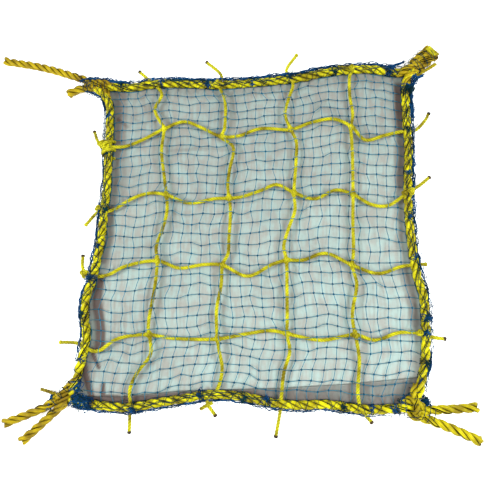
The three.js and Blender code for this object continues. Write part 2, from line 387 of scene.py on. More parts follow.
def start_material(name, roughness, sheen=0.0, specular=0.5):
    """A new material with its node tree and its main shader."""
    material = bpy.data.materials.new(name)
    material.use_nodes = True
    tree = material.node_tree
    shader = tree.nodes["Principled BSDF"]
    shader.inputs["Roughness"].default_value = roughness
    shader.inputs["Sheen Weight"].default_value = sheen
    shader.inputs["Specular IOR Level"].default_value = specular
    return material, tree, shader


def bump(tree, shader, height, distance, strength=1.0):
    """Relief on the shader, distance metres high."""
    made = add_node(tree, "ShaderNodeBump")
    made.inputs["Distance"].default_value = distance
    made.inputs["Strength"].default_value = strength
    tree.links.new(height, made.inputs["Height"])
    tree.links.new(made.outputs[0], shader.inputs["Normal"])


GROOVE_SHADE = (0.030, 0.020, 0.002)  # painted shade: the dark brown deep between two strands, where little light reaches
BLACK = (0.004, 0.003, 0.002)
TRACER_WIDTH = 0.045  # of the way round its strand, to either side
FIBRE_SPECULAR = 0.16
TRACER_SPECULAR = 0.01


def fibre_material(name, light, dark, yarns, twist, roughness=0.6, tracer=False, bump_height=0.0003,
                   specular=FIBRE_SPECULAR):
    """Twisted yarns round a strand, with painted shade between the yarns and in the grooves between
    strands: u runs round it, and twist is in turns for each millimetre.
    """
    material, tree, shader = start_material(name, roughness, specular=specular)
    place = add_node(tree, "ShaderNodeSeparateXYZ", in_0=add_node(tree, "ShaderNodeUVMap").outputs[0])
    u, v = place.outputs[0], place.outputs[1]
    twisted = maths(tree, "MULTIPLY_ADD", v, twist, u)
    wave = maths(tree, "SINE", maths(tree, "MULTIPLY", twisted, math.pi * yarns))
    ridge = maths(tree, "ABSOLUTE", wave)
    stretched = add_node(tree, "ShaderNodeCombineXYZ", in_0=maths(tree, "MULTIPLY", twisted, 60.0), in_1=v)
    fibres = noise(tree, 0.6, 4.0, stretched.outputs[0])
    patches = maths(tree, "MULTIPLY_ADD", noise(tree, 60.0), 3.2, -1.1)
    shade = blended(tree, add_node(tree, "ShaderNodeClamp", in_0=patches).outputs[0], light, dark)
    # painted shade between the yarns, broken up by the fibres: where the ridge is low the colour goes to a
    # darker copy of dark
    groove = maths(tree, "MULTIPLY_ADD", ridge, 0.45, maths(tree, "MULTIPLY", fibres, 0.75))
    clamped = add_node(tree, "ShaderNodeClamp", in_0=groove).outputs[0]
    colour = blended(tree, clamped, tuple(0.55 * c for c in dark), shade)
    # painted shade: deep in the grooves between strands, where shown is low, the colour goes to the dark
    # groove brown
    shown = add_node(tree, "ShaderNodeAttribute", attribute_name="shown").outputs["Fac"]
    colour = blended(tree, shown, GROOVE_SHADE, colour)
    if tracer:
        mark = maths(tree, "COMPARE", u, TRACER_AT, TRACER_WIDTH)
        colour = blended(tree, mark, colour, BLACK)
        gloss = maths(tree, "MULTIPLY_ADD", mark, TRACER_SPECULAR - FIBRE_SPECULAR, FIBRE_SPECULAR)
        tree.links.new(gloss, shader.inputs["Specular IOR Level"])
    tree.links.new(colour, shader.inputs["Base Color"])
    bump(tree, shader, maths(tree, "MULTIPLY_ADD", fibres, 0.5, ridge), bump_height, 0.8)
    return material


YELLOW = {"light": (0.88, 0.79, 0.001), "dark": (0.26, 0.20, 0.001)}
# painted shade and painted light: GOLD is the tie ends' deeper gold, painted darker as painted shade, and
# AMBER is a brighter gold, painted lighter as painted light on the bottom right
GOLD = {"light": (0.52, 0.37, 0.001), "dark": (0.19, 0.115, 0.001)}
AMBER = {"light": (0.69, 0.57, 0.001), "dark": (0.24, 0.17, 0.001)}
THICK_YARNS = {"yarns": 7, "twist": 0.004}
THIN_YARNS = {"yarns": 5, "twist": 0.02}
TWINE = {"yarns": 3, "twist": 0.25, "bump_height": 0.00012}
NET_TWINE = {**TWINE, "roughness": 0.55}
DULL_TWINE = {**TWINE, "specular": 0.05}

rope_yellow = fibre_material("rope_yellow", **YELLOW, **THICK_YARNS)
rope_tracer = fibre_material("rope_with_tracer", **YELLOW, **THICK_YARNS, tracer=True)
rope_gold = fibre_material("rope_gold_painted_shade", **GOLD, **THICK_YARNS)
gold_tracer = fibre_material("rope_gold_painted_shade_with_tracer", **GOLD, **THICK_YARNS, tracer=True)
rope_amber = fibre_material("rope_amber", **AMBER, **THICK_YARNS)
amber_tracer = fibre_material("rope_amber_with_tracer", **AMBER, **THICK_YARNS, tracer=True)
# a darker gold than the thin ropes inside, for the cord ends
thin_gold = fibre_material("thin_rope_dark_gold", (0.50, 0.39, 0.004), (0.15, 0.10, 0.002), **THIN_YARNS)
thin_yellow = fibre_material("thin_rope_yellow", (0.80, 0.74, 0.012), (0.22, 0.17, 0.002), **THIN_YARNS)
burnt_tip = fibre_material("burnt_rope_end", (0.09, 0.045, 0.012), (0.02, 0.012, 0.006), 4, 0.0, 0.35)
net_blue = fibre_material("net_twine_blue", (0.012, 0.21, 0.33), (0.006, 0.12, 0.20), **NET_TWINE)
knot_blue = fibre_material("net_knot_blue", (0.004, 0.06, 0.14), (0.002, 0.03, 0.08), **NET_TWINE)
gather_blue = fibre_material("gathered_twine_blue", (0.009, 0.085, 0.25), (0.003, 0.02, 0.06), **DULL_TWINE)
wrap_teal = fibre_material("lacing_twine_teal", (0.005, 0.045, 0.058), (0.003, 0.018, 0.022), **DULL_TWINE)


THREAD_PITCH = 1.1
CLOTH_COOL = (0.345, 0.430, 0.405)
CLOTH_WARM = (0.336, 0.335, 0.305)
# the warm brown of the cloth's painted shade and painted shadows
CLOTH_SHADE_BROWN = (0.068, 0.032, 0.027)
# painted shade between the weave's threads
CLOTH_BETWEEN_THREADS = (0.18, 0.17, 0.16)


def cloth_material():
    """Plain weave with soft warm streaks, painted shade between its threads, and brown painted shade where
    the mesh's per-point value says.
    """
    material, tree, shader = start_material("backing_cloth_grey", 0.85, sheen=0.08, specular=0.08)
    place = add_node(tree, "ShaderNodeSeparateXYZ", in_0=add_node(tree, "ShaderNodeUVMap").outputs[0])
    threads = []
    for k in (0, 1):
        wave = maths(tree, "SINE", maths(tree, "MULTIPLY", place.outputs[k], TAU / THREAD_PITCH))
        threads.append(maths(tree, "MULTIPLY_ADD", wave, 0.5, 0.5))
    weave = maths(tree, "MULTIPLY", threads[0], threads[1])
    place_on_cloth = add_node(tree, "ShaderNodeTexCoord").outputs["Object"]
    stretched = add_node(tree, "ShaderNodeVectorMath", operation="MULTIPLY", in_0=place_on_cloth,
                         in_1=(1, 0.12, 1)).outputs[0]
    streaks = maths(tree, "MULTIPLY_ADD", noise(tree, 190.0, 2.0, stretched), 2.4, -1.2)
    patches = maths(tree, "MULTIPLY_ADD", noise(tree, 55.0, 4.0), 3.0, -1.0)
    warm = add_node(tree, "ShaderNodeClamp", in_0=maths(tree, "ADD", patches, streaks)).outputs[0]
    mottled = blended(tree, warm, CLOTH_COOL, CLOTH_WARM)
    # painted shade: the mesh's per-point value blends the cloth towards the shade brown
    painted_shade_and_tone = add_node(tree, "ShaderNodeAttribute", attribute_name="painted_shade_and_tone").outputs["Fac"]
    shaded_cloth = blended(tree, painted_shade_and_tone, mottled, CLOTH_SHADE_BROWN)
    # painted shade in the gaps between threads: the weave darkens the colour there
    lit = maths(tree, "MULTIPLY_ADD", weave, 0.12, 0.88)
    colour = blended(tree, lit, CLOTH_BETWEEN_THREADS, shaded_cloth)
    tree.links.new(colour, shader.inputs["Base Color"])
    fuzz = noise(tree, 900.0, 2.0)
    bump(tree, shader, maths(tree, "MULTIPLY_ADD", fuzz, 0.4, weave), 0.00025, 0.7)
    return material


def floor_material():
    """White, and lit a little from within so that it stays white."""
    material, tree, shader = start_material("studio_floor", 0.9)
    shade = blended(tree, noise(tree, 3.0), (0.93, 0.93, 0.93), (0.90, 0.90, 0.90))
    tree.links.new(shade, shader.inputs["Base Color"])
    shader.inputs["Emission Color"].default_value = (1, 1, 1, 1)
    shader.inputs["Emission Strength"].default_value = 0.45
    return material


# ---- camera, light, floor

CAMERA_PLACE = Vector((0.083, -0.212, 0.842))
CAMERA_TARGET = Vector((0.007, -0.030, 0.0095))
CAMERA_UP = Vector((-0.0175, 1, 0))


def add_camera():
    """The photograph's view, from above and a little to the lower right."""
    data = bpy.data.cameras.new("photo_camera")
    data.lens = 40
    camera = bpy.data.objects.new("photo_camera", data)
    back = (CAMERA_PLACE - CAMERA_TARGET).normalized()
    right = CAMERA_UP.cross(back).normalized()
    turn = Matrix((right, back.cross(right), back)).transposed().to_4x4()
    camera.matrix_world = Matrix.Translation(CAMERA_PLACE) @ turn
    bpy.context.scene.collection.objects.link(camera)
    bpy.context.scene.camera = camera


def add_area_light(name, place, size, power):
    data = bpy.data.lights.new(name, "AREA")
    data.shape = "DISK"
    data.size = size
    data.energy = power
    data.color = (0.90, 1.0, 1.0)
    light = bpy.data.objects.new(name, data)
    light.location = place
    light.rotation_euler = (-Vector(place)).to_track_quat("-Z", "Y").to_euler()
    bpy.context.scene.collection.objects.link(light)


def add_stage():
    """A white floor, a pale surrounding and three soft lights."""
    bpy.ops.mesh.primitive_plane_add(size=12)
    floor = bpy.context.object
    floor.name = "floor"
    floor.data.materials.append(floor_material())
    world = bpy.data.worlds.new("studio")
    world.use_nodes = True
    world.node_tree.nodes["Background"].inputs[0].default_value = (1.0, 0.88, 0.81, 1)
    world.node_tree.nodes["Background"].inputs[1].default_value = 0.45
    bpy.context.scene.world = world
    add_area_light("left_light", (-1.2, -0.25, 1.15), 0.6, 30)
    add_area_light("right_light", (1.2, -0.25, 1.15), 0.6, 30)
    add_area_light("top_light", (0.0, -0.1, 2.2), 1.8, 18)
    bpy.context.scene.view_settings.view_transform = "Standard"


add_camera()
add_stage()

# ---- where things are

border_lines = {side: smooth_line(points, 2.0) for side, points in BORDERS.items()}
all_borders = np.vstack(list(border_lines.values()))
down_lines = [smooth_line(points, 1.5) for points in DOWN_ROPES]
across_lines = [smooth_line(points, 1.5) for points in ACROSS_ROPES]


def distance_to(places, line):
    """How far each place is from the nearest point of a line, both flat."""
    found = [np.linalg.norm(places[k:k + 2000, None, :2] - line[None, :, :2], axis=2).min(axis=1)
             for k in range(0, len(places), 2000)]
    return np.concatenate(found)


def border_at(side, key, value):
    """A border's y at that x, or its x at that y."""
    line = border_lines[side]
    order = np.argsort(line[:, key])
    return np.interp(value, line[order, key], line[order, 1 - key])


def inside_borders(u, v):
    """Maps the unit square onto the space between the border ropes' middles.

    Each edge depends on the other coordinate, so a first guess of y is improved three times.
    """
    y = -236 + 464 * v
    for _ in range(3):
        left, right = (border_at(side, 1, np.clip(y, *STRAIGHT[side])) for side in ("left", "right"))
        x = left + (right - left) * u
        bottom, top = (border_at(side, 0, np.clip(x, *STRAIGHT[side])) for side in ("bottom", "top"))
        y = bottom + (top - bottom) * v
    return np.stack([x, y], -1)


def is_inside(places):
    """Whether each place of a thin rope lies in the frame, and isn't on one of its stubs."""
    x, y = places[:, 0], places[:, 1]
    return (x > -232) & (x < 256) & (y > -256) & (y < 256)


def meeting(one, other):
    """The index along one line of the point nearest to another line."""
    return int(distance_to(one, other).argmin())


# ---- what a piece stands for

def stands_for(node):
    """The piece takes that CAD node's place: the node is hidden."""
    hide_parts(node)


def put_on_net(piece, node):
    """The piece stays with the net and stands for that CAD node."""
    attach(piece, "net")
    stands_for(node)


# ---- thin ropes

def thin_height(flat, others, rises):
    """Heights of a thin rope: over or under each rope that it meets, and through the border ropes."""
    height = np.full(len(flat), THIN_Z)
    along = lengths_along(flat)
    swell = np.ones(len(flat))
    for other, rise in zip(others, rises):
        away = np.abs(along - along[meeting(flat, other)])
        height += THIN_RISE * rise * (1 - ease(away, 4, 30))
        swell += 0.5 * (1 - ease(away, 2, 7))
    to_border = distance_to(flat, all_borders)
    height = np.where(is_inside(flat), height, STUB_Z)
    near = 1 - ease(to_border, 5, 20)
    return height + (BORDER_Z - height) * near, swell


def round_tip(line, at_start, radius):
    """A short rounded stretch at one end of a line, as (points, radii)."""
    end, next_one = (line[0], line[4]) if at_start else (line[-1], line[-5])
    out = (end - next_one) / np.linalg.norm(end - next_one)
    steps = np.linspace(0, 1, 8)
    points = end + out * (steps * 5.0 - 3.4)[:, None]
    return points, radius * np.sqrt(np.clip(1 - (2 * steps - 1) ** 4, 0.02, 1))


def add_thin_rope(name, node, flat, others, rises, dark_tips):
    """One thin rope with rounded tips, over or under each of the others as rises says."""
    height, swell = thin_height(flat, others, rises)
    line = lifted(flat, height)
    skin = Skin()
    thin_rope(skin, line, swell=swell)
    for at_start, dark in zip((True, False), dark_tips):
        points, radii = round_tip(line, at_start, THIN_RADIUS * 1.12)
        skin.tube(points, radii, 8, 1 if dark else 0)
    piece = skin.make(name, [thin_yellow, burnt_tip])
    put_on_net(piece, node)
    return line


DARK_TIPS = {  # which tips of each thin rope are burnt
    "down": [(True, True), (True, True), (False, True), (False, True)],
    "across": [(True, True), (False, True), (True, False), (False, True)],
}
thin_lines = []
for way, own, others, first_rise in (("down", down_lines, across_lines, 1),
                                     ("across", across_lines, down_lines, -1)):
    for i, flat in enumerate(own):
        rises = [first_rise * (-1) ** (i + j) for j in range(4)]
        line = add_thin_rope(f"rope_{way}_{i + 1}", f"net_rope_{way}_{i + 1}", flat, others, rises,
                             DARK_TIPS[way][i])
        thin_lines.append(line)


# ---- border ropes and tie ends

def border_height(side, line):
    """The left and right border ropes climb over the other two inside the corners."""
    height = np.full(len(line), BORDER_Z)
    if side in ("left", "right"):
        along = lengths_along(line)
        ends = np.minimum(along, along[-1] - along)
        height += (CROSSING_Z - BORDER_Z) * (1 - ease(ends, 6, 34))
    return height


def add_border_rope(side, line, phase):
    """One border rope, three strands with a tracer."""
    skin = Skin()
    laid_rope(skin, lifted(line, border_height(side, line)), BORDER_RADIUS, BORDER_LAY, phase)
    piece = skin.make(f"border_{side}", [rope_yellow, rope_tracer])
    put_on_net(piece, f"border_rope_{side}")


for k, (side, line) in enumerate(border_lines.items()):
    add_border_rope(side, line, 0.9 * k)


# the tie ends and the lashings take the painted-shade gold, and the painted-light amber at the bottom right
TAIL_MATERIALS = {place: (rope_gold, gold_tracer) for place in CORNERS}
TAIL_MATERIALS["bottom_right"] = (rope_amber, amber_tracer)


def add_tie_end(place, label, points, phase):
    """A loose rope end, which sinks from the border ropes' height to its tip's."""
    flat = smooth_line(points, 2.0)
    share = lengths_along(flat) / lengths_along(flat)[-1]
    line = lifted(flat, BORDER_Z + (TAIL_TIP_Z - BORDER_Z) * share)
    skin = Skin()
    laid_rope(skin, line, BORDER_RADIUS, TAIL_LAY, phase, splay=(0, 0.22))
    piece = skin.make(f"tail_{place}_{label}", TAIL_MATERIALS[place])
    stands_for(f"tie_end_{place}_{label}")
    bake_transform(piece)


def add_cord_end(place, points):
    """A short end of thin rope that leaves a lashing and stays with the net."""
    line = lifted(smooth_line(points, 1.5), BORDER_Z)
    skin = Skin()
    thin_rope(skin, line)
    piece = skin.make(f"cord_{place}", [thin_gold])
    put_on_net(piece, f"cord_end_{place}")


for place, corner in CORNERS.items():
    for k, (label, points) in enumerate(corner["tails"].items()):
        add_tie_end(place, label, points, 1.3 * k + 0.5)
    if "cord" in corner:
        add_cord_end(place, corner["cord"])


# ---- fine net

def net_nodes():
    """Places of the net's knots, with the drift and the small unevenness of a slack net."""
    rng = np.random.default_rng(4)
    reach = (-NET_MARGIN, 1 + NET_MARGIN)
    u, v = np.meshgrid(np.linspace(*reach, NET_COLUMNS + 2), np.linspace(*reach, NET_ROWS + 2),
                       indexing="ij")
    u = u + 0.018 * np.sin(math.pi * u)
    v = v - 0.014 * np.sin(TAU * v)
    places = inside_borders(u.ravel(), v.ravel()).reshape(*u.shape, 2)
    inner = np.sin(math.pi * np.clip(u, 0, 1)) * np.sin(math.pi * np.clip(v, 0, 1))
    places[..., 0] += inner * (4.0 * np.sin(7.5 * v + 2.2 * u) + 2.2 * np.sin(17 * v + 5 * u + 1))
    places[..., 1] += inner * (4.5 * np.sin(8.5 * u + 1.6 * v + 0.6) + 2.0 * np.sin(19 * u + 6 * v))
    places[..., 0] += 1.3 * np.sin(41 * v + 23 * u) + 0.9 * np.sin(67 * v - 31 * u)
    places[..., 1] += 1.3 * np.sin(37 * u + 19 * v + 2) + 0.9 * np.sin(71 * u - 29 * v)
    places += rng.normal(0, 0.95, places.shape)
    return places


def net_height(flat, rng):
    """Under the border ropes, on the cloth's side of most thin ropes and over some of them."""
    to_border = distance_to(flat, all_borders)
    height = NET_UNDER_ROPE_Z + (NET_Z - NET_UNDER_ROPE_Z) * ease(to_border, 7.5, 17)
    for rope in thin_lines:
        if rng.random() < 0.45:
            over = (1 - ease(distance_to(flat, rope), 2.2, 7.5)) * ease(to_border, 9, 18)
            height += over * (THIN_Z + THIN_RADIUS + 1.6 - NET_Z)
    return height


def add_net():
    """The twines along both ways of the net, with a small turned loop for each knot."""
    rng = np.random.default_rng(5)
    places = net_nodes()
    skin = Skin()
    for lines in (places, places.transpose(1, 0, 2)):
        for nodes in lines[1:-1]:
            flat = smooth_line(nodes, 3.4)
            flat[1:-1] += rng.normal(0, 0.12, flat[1:-1].shape)
            skin.tube(lifted(flat, net_height(flat, rng)), NET_RADIUS, 5)
    knots = places[1:-1, 1:-1].reshape(-1, 2)
    clear = distance_to(knots, all_borders) > 8
    t = np.linspace(0, 1.86 * math.pi, 12)
    across, up, rise = 1.05 * np.cos(t) + 0.35 * np.cos(2 * t), 1.05 * np.sin(t), 0.55 * np.sin(2 * t)
    for x, y in knots[clear]:
        loop = turned(across, up, rise, rng.uniform(0, TAU))
        skin.tube(loop + (x, y, NET_Z), KNOT_RADIUS, 4, 1)
    piece = skin.make("netting", [net_blue, knot_blue])
    put_on_net(piece, "overlay_net")


add_net()


# ---- the net's gathered edge and its lacing

def outward(line):
    """Flat directions to the left of the line: out of the frame, as the borders run clockwise."""
    along = np.gradient(line[:, :2], axis=0)
    along /= np.linalg.norm(along, axis=1)[:, None]
    return np.stack([-along[:, 1], along[:, 0]], -1)


def wavy(rng, count, mean, spread, step=5):
    """A smooth random run of values about a mean."""
    few = rng.normal(mean, spread, max(4, count // step))
    return np.interp(np.linspace(0, 1, count), np.linspace(0, 1, len(few)), few)


BLUE, TEAL = 0, 1  # the material slots of the gathered edges
WRAPS = ((44, 0.42), (-35, 0.42), (19, 0.25), (-15, 0.25))  # the lacing's pitches and radii
GATHER = {  # strands outside, over and inside, their slack, tight knots (share along, width) and runs
    "top": {
        "outside": 22, "over": 6, "inside": 0, "slack": 2.6,
        "knots": [(0.08, 5), (0.21, 4), (0.36, 8), (0.5, 4), (0.62, 5), (0.76, 9), (0.93, 12)],
    },
    "right": {
        "outside": 13, "over": 5, "inside": 0, "slack": 1.5,
        "knots": [(0.07, 14), (0.2, 4), (0.34, 5), (0.48, 4), (0.6, 5), (0.78, 11), (0.82, 8), (0.9, 9)],
        "runs": [([(272, -175), (270, -195), (264, -215), (259, -230)], 12, 2.0, (4, 13))],
    },
    "bottom": {
        "outside": 10, "over": 3, "inside": 1, "slack": 1.6,
        "knots": [(0.05, 8), (0.12, 8), (0.2, 7), (0.41, 9), (0.48, 8), (0.6, 10), (0.8, 6), (0.93, 12)],
    },
    "left": {
        "outside": 13, "over": 3, "inside": 0, "slack": 1.9,
        "knots": [(0.1, 6), (0.24, 5), (0.35, 13), (0.45, 4), (0.57, 9), (0.755, 8), (0.88, 4)],
    },
}


def seed_from(word):
    """A small number from a word, the same each run."""
    return sum((k + 1) * ord(letter) for k, letter in enumerate(word))


def add_whisker(skin, rng, start, heading):
    """A short frayed end that curls away."""
    length, bend = rng.uniform(4, 12), rng.uniform(-0.9, 0.9)
    angle = heading + 2 * bend * np.linspace(0, 1, 7)
    climb = np.full(7, rng.uniform(-0.3, 0.5))
    walk = np.cumsum(np.stack([np.cos(angle), np.sin(angle), climb], -1), axis=0)
    line = start + walk * length / 7
    line[:, 2] = np.clip(line[:, 2], TWINE_LOW, 16)
    skin.tube(line, np.linspace(0.5, 0.3, 7), 4)


def add_tangle(skin, rng, centre, half, count, slot):
    """Loose loops of twine, wound about a place."""
    for _ in range(count):
        points = centre + rng.normal(0, 0.55, (16, 3)) * half
        line = smooth_line(points, 1.2)
        line[:, 2] = np.clip(line[:, 2], TWINE_LOW, 19)
        skin.tube(line, rng.uniform(0.45, 0.65), 5, slot)


def add_run(skin, rng, route, strands, spread, heights, slot):
    """Strands side by side along a route, each over a part of its length."""
    low, high = heights
    flat = smooth_line(route, 2.0)
    out = outward(flat)
    for _ in range(strands):
        first = int(rng.uniform(0, 0.35) * len(flat))
        stretch = slice(first, max(first + 5, int(rng.uniform(0.65, 1) * len(flat))))
        size = len(flat[stretch])
        shift = wavy(rng, size, 0, spread * 0.6, 4)[:, None] * out[stretch]
        height = np.clip(wavy(rng, size, (low + high) / 2, (high - low) / 3, 4), low, high)
        skin.tube(lifted(flat[stretch] + shift, height), rng.uniform(0.5, 0.85), 5, slot)


def strand_places(rng, where, slack, rope_height):
    """How far out from a border rope's middle a gathered strand runs, and how high."""
    size = len(rope_height)
    if where == "over":
        reach = np.clip(wavy(rng, size, 0.0, 3.5, 8), -5.5, 5.5)
        return reach, rope_height + np.sqrt(BORDER_RADIUS**2 - reach**2) + 0.4
    sign, mean_height = (1, 10.0) if where == "outside" else (-1, 6.0)
    reach = sign * (BORDER_RADIUS - 0.5 + np.clip(wavy(rng, size, slack, 1.5, 4), 0, 5))
    return reach, np.clip(wavy(rng, size, mean_height, 3.0, 4), 2.0, 15)


def add_strands(skin, rng, core, out, plan):
    """Loose strands outside, over and inside a border rope, each over a part of its length."""
    last = len(core) - 6
    for where in ("outside", "over", "inside"):
        thickness, slot = (1, BLUE) if where == "outside" else (0.75, TEAL)
        for _ in range(plan[where]):
            first = int(rng.uniform(6, 0.7 * last))
            stretch = slice(first, min(last, first + int(rng.uniform(0.25, 0.6) * last)))
            part = core[stretch]
            reach, height = strand_places(rng, where, plan["slack"], part[:, 2])
            flat = part[:, :2] + reach[:, None] * out[stretch] + rng.normal(0, 0.2, (len(part), 2))
            skin.tube(lifted(flat, height), rng.uniform(0.45, 0.8) * thickness, 5, slot)


def add_tight_knot(skin, rng, core, at, width):
    """A close coil of twine round a border rope, with a tangle on top."""
    along = lengths_along(core[:, :2])
    places = at + np.arange(-width / 2, width / 2, 0.25)
    fine = np.stack([np.interp(places, along, core[:, k]) for k in range(3)], axis=1)
    skin.tube(coiled(fine, BORDER_RADIUS + 0.5, rng.uniform(2.2, 3.2), 0.0, 0.4, rng), 0.5, 5, TEAL)
    middle = fine[len(fine) // 2] + (*rng.normal(0, 1.5, 2), 3.5)
    wide = 3.5 + width / 3
    add_tangle(skin, rng, middle, (wide, wide, 5), 6 if width > 10 else 3, int(rng.integers(2)))


def add_whiskers(skin, rng, line, out):
    """Frayed ends along the outside of a border rope, about 10 mm apart."""
    along = lengths_along(line)
    for at in np.arange(12, along[-1] - 12, 10.0):
        k = int(np.searchsorted(along, at + rng.uniform(-3, 3)))
        k = min(max(k, 2), len(line) - 3)
        heading = math.atan2(out[k, 1], out[k, 0]) + rng.uniform(-0.9, 0.9)
        start = np.array([*(line[k] + out[k] * rng.uniform(6.5, 9.5)), rng.uniform(3, 12)])
        add_whisker(skin, rng, start, heading)


def add_gather(side, line):
    """The net's edge, bunched along a border rope and laced to it."""
    rng = np.random.default_rng(seed_from(side))
    plan = GATHER[side]
    out = outward(line)
    core = lifted(line, border_height(side, line))
    skin = Skin()
    add_strands(skin, rng, core, out, plan)
    for pitch, radius in WRAPS:
        wrap = coiled(core, BORDER_RADIUS + 0.4, pitch, rng.uniform(0, TAU), 0.7, rng)
        skin.tube(wrap[8:-8], radius, 5, TEAL)
    for share, width in plan["knots"]:
        add_tight_knot(skin, rng, core, share * lengths_along(line)[-1], width)
    add_whiskers(skin, rng, line, out)
    for run in plan.get("runs", []):
        add_run(skin, rng, *run, BLUE)
    piece = skin.make(f"gather_{side}", [gather_blue, wrap_teal])
    put_on_net(piece, f"edge_lacing_{side}")


for side, line in border_lines.items():
    add_gather(side, line)


# ---- the small hitches of the thin ropes

HITCHES = [  # middle, size and turn of each knot
    ((-240, 147, 14), 1.9, 0.3), ((-232, 137, 16), 1.6, 1.4), ((-238, 38, 12), 1.2, 0.9),
    ((-252, -68, 12), 1.8, 2.0), ((167, 270, 17), 1.2, 0.4), ((244, 59, 13), 1.2, 0.7),
    ((253, 60, 16), 1.4, 0.2), ((256, -154, 15), 1.1, 1.1), ((-52, 252, 14), 1.0, 0.5),
]


def add_hitches():
    """A trefoil knot at each place, one coil round the left border rope and one spare end."""
    skin = Skin()
    t = np.linspace(0, TAU, 60)
    across, up = np.sin(t) + 2 * np.sin(2 * t), np.cos(t) - 2 * np.cos(2 * t)
    rise = -1.1 * np.sin(3 * t)
    for middle, size, turn in HITCHES:
        loop = turned(across, up, rise, turn)
        thin_rope(skin, np.array(middle) + size * loop, HITCH_RADIUS, turn)
    core = lifted(smooth_line([(-229, 124), (-229, 140), (-230, 156)], 0.6), BORDER_Z)
    turns = coiled(core, BORDER_RADIUS + THIN_RADIUS, 14.0, 0.0)
    turns[:, 2] = np.maximum(turns[:, 2], THIN_RADIUS)
    thin_rope(skin, turns, HITCH_RADIUS)
    spare_end = lifted(smooth_line([(-44, -258), (-52, -262), (-62, -268)], 1.0), 9.0)
    thin_rope(skin, spare_end)
    piece = skin.make("hitches", [thin_yellow])
    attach(piece, "net")


add_hitches()

# ---- corner lashings

LASHINGS = {  # turns of rope, runs (route, strands, spread, heights), tangles and wraps of twine
    "top_left": {
        "turns": [[(-274, 251, 10), (-263, 248, 15), (-250, 247, 15), (-240, 241, 13), (-235, 229, 10)],
                  [(-276, 258, 9), (-262, 257, 15), (-246, 256, 16), (-228, 254, 11)]],
        "runs": [([(-288, 262), (-272, 264), (-248, 263), (-223, 258), (-196, 255)], 28, 2.8, (9, 18)),
                 ([(-276, 246), (-260, 240), (-247, 230), (-242, 205)], 10, 1.6, (4, 13))],
        "tangles": [((-258, 256, 14), (13, 7, 4), 6)],
        "wraps": [((-282, 256), (-238, 250), 10, 7), ((-276, 252), (-236, 236), 9, -5)],
    },
    "top_right": {
        "turns": [[(262, 262, 9), (272, 273, 14), (284, 286, 14), (296, 297, 10)],
                  [(240, 258, 8), (252, 262, 16), (264, 268, 17), (275, 280, 15)],
                  [(254, 234, 9), (255, 246, 15), (262, 258, 16), (272, 262, 13)]],
        "runs": [([(261, 176), (261, 205), (262, 236), (270, 250), (287, 258)], 30, 2.8, (4, 15)),
                 ([(226, 271), (240, 277), (258, 283)], 9, 1.6, (6, 14))],
        "tangles": [((256, 238, 12), (9, 9, 6), 6), ((262, 251, 17), (7, 6, 4), 6)],
        "wraps": [((254, 259), (290, 295), 13, 5), ((258, 262), (294, 291), 13, -3)],
    },
    "bottom_left": {
        "turns": [[(-250, -226, 11), (-261, -240, 16), (-271, -254, 16), (-281, -266, 10)],
                  [(-256, -243, 8), (-264, -255, 15), (-272, -267, 15), (-281, -277, 9)]],
        "runs": [([(-284, -248), (-290, -261), (-288, -276)], 24, 3.0, (3, 14)),
                 ([(-262, -262), (-240, -266), (-215, -272)], 16, 2.6, (4, 15))],
        "tangles": [((-243, -260, 13), (14, 9, 5), 22), ((-251, -241, 15), (8, 9, 5), 12)],
        "wraps": [((-254, -236), (-286, -272), 10, 4), ((-256, -240), (-287, -268), 10, -3)],
    },
    "bottom_right": {
        "turns": [[(248, -226, 12), (244, -238, 17), (246, -251, 17), (246, -264, 17), (242, -273, 11)],
                  [(228, -252, 8), (238, -248, 14), (250, -254, 17), (259, -261, 10)],
                  [(236, -266, 8), (245, -271, 15), (256, -270, 12)]],
        "runs": [([(256, -215), (252, -228), (246, -240)], 5, 1.5, (10, 17))],
        "tangles": [((260, -250, 10), (6, 7, 6), 9), ((234, -252, 10), (8, 7, 6), 6)],
        "wraps": [((247, -232), (243, -274), 9, 5), ((250, -262), (270, -270), 11, 3)],
    },
}
FAN = [((286, 298), (293, 306)), ((296, 288), (307, 291))]  # the near and far end of its two sides
LASHING_BLUE, LASHING_TEAL, LASHING_END = 2, 3, 4  # material slots, after the rope's two


def add_wrap(skin, rng, start, end, width, turns):
    """Twine wound round a lashing, between two places along it."""
    t = np.linspace(0, 1, 24 * abs(turns))
    way = np.subtract(end, start)
    axis = way / np.linalg.norm(way)
    spin = TAU * turns * t + rng.uniform(0, TAU)
    flat = np.array(start) + t[:, None] * way
    flat = flat + (width + 0.6) * np.cos(spin)[:, None] * np.array([-axis[1], axis[0]])
    skin.tube(lifted(flat, np.maximum(10 + 12.3 * np.sin(spin), 1.6)), 0.5, 5, LASHING_TEAL)


def add_fan(skin, rng):
    """The flat cut end of the top right bundle: strands side by side."""
    (near_a, far_a), (near_b, far_b) = FAN
    for share in np.linspace(0, 1, 12):
        near = np.multiply(near_a, 1 - share) + np.multiply(near_b, share)
        far = np.multiply(far_a, 1 - share) + np.multiply(far_b, share)
        line = smooth_line([(*near, 16.5), (*(near + far) / 2, rng.uniform(15, 17)), (*far, 13)], 0.8)
        skin.tube(line, rng.uniform(1.0, 1.5), 6, LASHING_END)


